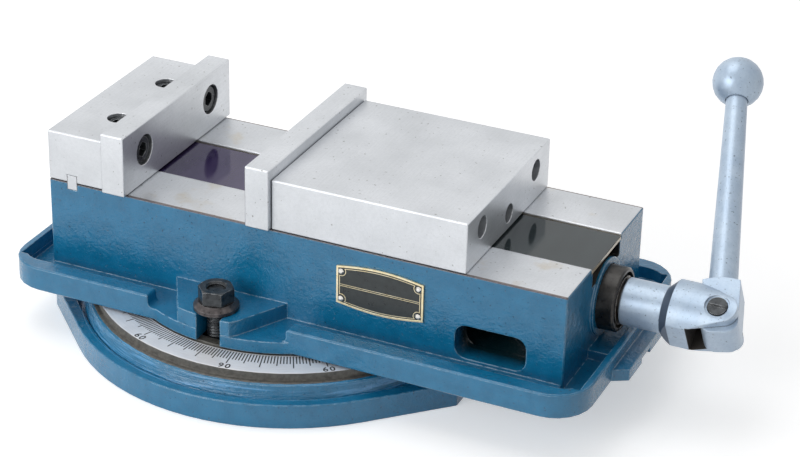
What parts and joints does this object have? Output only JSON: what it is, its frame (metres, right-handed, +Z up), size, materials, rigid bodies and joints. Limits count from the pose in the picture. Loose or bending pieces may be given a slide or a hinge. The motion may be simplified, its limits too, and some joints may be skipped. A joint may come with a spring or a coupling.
{
  "type": "machine vise",
  "caption": "Angle-lock milling vise on a round swivel base with a degree scale, ground jaws part open and a folding crank with a ball end.",
  "frame": {"origin": "on the swivel axis, on the flat underside of the swivel base", "axes": "+X along the bed towards the crank, +Y to the far side, +Z up"},
  "size_m": [0.4979, 0.3237, 0.1916],
  "materials": {
    "blue_casting_paint": "glossy hammered blue paint with worn edges",
    "ground_steel": "surface ground",
    "black_oxide_steel": "black oxide",
    "dark_cover_sheet": "dark gloss",
    "silver_crank_paint": "silver-blue paint on a casting",
    "brass": "satin",
    "turned_steel": "turned and oiled"
  },
  "bodies": {
    "base": {"swivel_base": "blue_casting_paint", "swivel_pivot": "turned_steel"},
    "body": {"vise_body": "blue_casting_paint", "clamp_bolt_near": "black_oxide_steel", "clamp_bolt_far": "black_oxide_steel", "clamp_washer_near": "black_oxide_steel", "clamp_washer_far": "black_oxide_steel", "fixed_jaw": "ground_steel", "fixed_jaw_key": "turned_steel", "fixed_jaw_bolt_near": "black_oxide_steel", "fixed_jaw_bolt_far": "black_oxide_steel", "fixed_jaw_plate": "ground_steel", "fixed_plate_screw_near": "black_oxide_steel", "fixed_plate_screw_far": "black_oxide_steel", "thrust_race_outer": "turned_steel", "thrust_cage": "brass", "bearing_housing": "black_oxide_steel", "retaining_ring": "brass", "rear_cover": "dark_cover_sheet", "nameplate": "brass", "nameplate_rivet_1": "brass", "nameplate_rivet_2": "brass", "nameplate_rivet_3": "brass", "nameplate_rivet_4": "brass"},
    "nut_near": {"clamp_nut_near": "black_oxide_steel"},
    "nut_far": {"clamp_nut_far": "black_oxide_steel"},
    "jaw": {"movable_jaw": "ground_steel", "movable_jaw_plate": "ground_steel", "movable_plate_screw_near": "black_oxide_steel", "movable_plate_screw_far": "black_oxide_steel", "vise_nut": "turned_steel", "lock_half_ball": "turned_steel", "jaw_set_screw": "black_oxide_steel", "front_cover": "dark_cover_sheet", "front_cover_screw_near": "black_oxide_steel", "front_cover_screw_far": "black_oxide_steel"},
    "spindle": {"lead_screw": "turned_steel", "thrust_race_inner": "turned_steel", "crank_hub": "silver_crank_paint", "shaft_key": "turned_steel", "crank_pin": "black_oxide_steel"},
    "lever": {"crank_lever": "silver_crank_paint", "ball_knob": "silver_crank_paint"}
  },
  "joints": [
    {"name": "swivel", "type": "hinge", "parent": "base", "child": "body", "pos_m": [0, 0, 0.0332], "axis": [0, 0, 1], "continuous": true},
    {"name": "jaw_slide", "type": "slide", "parent": "body", "child": "jaw", "axis": [1, 0, 0], "range_m": [-0.0917, 0.058]},
    {"name": "screw_turn", "type": "hinge", "parent": "body", "child": "spindle", "pos_m": [0.2473, 0, 0.073], "axis": [1, 0, 0], "range_deg": [-6610, 4180]},
    {"name": "lever_fold", "type": "hinge", "parent": "spindle", "child": "lever", "pos_m": [0.3124, 0, 0.073], "axis": [0, 0.5505, -0.8348], "range_deg": [0, 204]},
    {"name": "clamp_nut_near_turn", "type": "hinge", "parent": "body", "child": "nut_near", "pos_m": [-0.0062, -0.0974, 0.059], "axis": [0, 0, 1], "range_deg": [0, 720]},
    {"name": "clamp_nut_far_turn", "type": "hinge", "parent": "body", "child": "nut_far", "pos_m": [-0.0062, 0.0974, 0.059], "axis": [0, 0, 1], "range_deg": [0, 720]}
  ],
  "couplings": [
    {"joint": "screw_turn", "follows": "jaw_slide", "rad_per_m": 1256.6}
  ]
}
